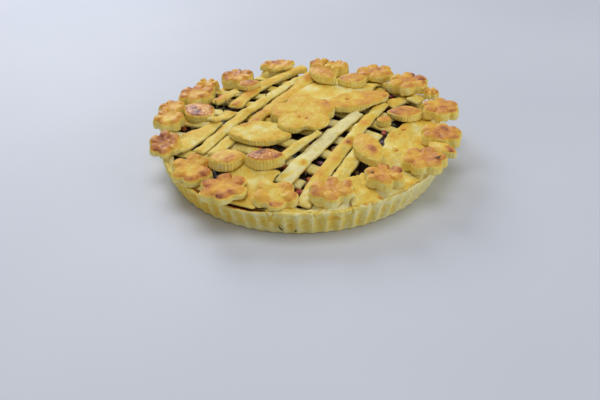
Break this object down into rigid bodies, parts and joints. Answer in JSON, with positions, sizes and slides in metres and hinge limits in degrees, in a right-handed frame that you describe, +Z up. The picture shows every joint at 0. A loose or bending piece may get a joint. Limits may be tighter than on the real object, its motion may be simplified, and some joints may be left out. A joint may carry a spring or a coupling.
{
  "type": "savory pie",
  "caption": "Round savory pie with a fluted shortcrust case, a lattice lid over a vegetable filling, and dough flowers and leaves on top.",
  "frame": {"origin": "centre of the case's flat foot", "axes": "+Z up along the pie's axis; the front, where the large leaf and the front flowers show, faces -Y"},
  "size_m": [0.3061, 0.2864, 0.0545],
  "materials": {
    "crust": "matte pale baked shortcrust",
    "dough": "satin pale gold baked dough",
    "glazed": "browned dough with a glossy egg wash",
    "vegetables": "moist cooked vegetables"
  },
  "bodies": {
    "root": {"crust_case": "crust", "filling": "vegetables", "lower_strip_1": "dough", "lower_strip_2": "dough", "lower_strip_3": "dough", "lower_strip_4": "dough", "lower_strip_5": "dough", "lower_strip_6": "dough", "lower_strip_7": "dough", "lower_strip_8": "dough", "upper_strip_1": "dough", "upper_strip_2": "dough", "upper_strip_3": "dough", "upper_strip_4": "dough", "upper_strip_5": "dough", "upper_strip_6": "dough", "upper_strip_7": "dough", "upper_strip_8": "dough", "upper_strip_9": "dough", "upper_strip_10": "dough", "upper_strip_11": "dough", "upper_strip_12": "dough", "upper_strip_13": "dough", "upper_strip_14": "dough", "dough_sheet_1": "dough", "dough_sheet_2": "dough", "dough_sheet_3": "dough", "dough_knob": "dough", "leaf_1": "glazed", "leaf_2": "glazed", "leaf_3": "glazed", "leaf_4": "glazed", "leaf_5": "glazed", "leaf_6": "glazed", "leaf_7": "glazed", "leaf_8": "glazed", "leaf_9": "glazed", "border_flower_1": "glazed", "border_flower_2": "glazed", "border_flower_3": "glazed", "border_flower_4": "glazed", "border_flower_5": "glazed", "border_flower_6": "glazed", "border_flower_7": "glazed", "border_flower_8": "glazed", "border_flower_9": "glazed", "border_flower_10": "glazed", "border_flower_11": "glazed", "border_flower_12": "glazed", "border_flower_13": "glazed", "border_flower_14": "glazed", "border_flower_15": "glazed", "border_flower_16": "glazed", "border_flower_17": "glazed", "border_flower_18": "glazed", "border_flower_19": "glazed", "border_flower_20": "glazed", "centre_flower": "dough", "centre_leaf_1": "dough", "centre_leaf_2": "dough"}
  },
  "joints": []
}
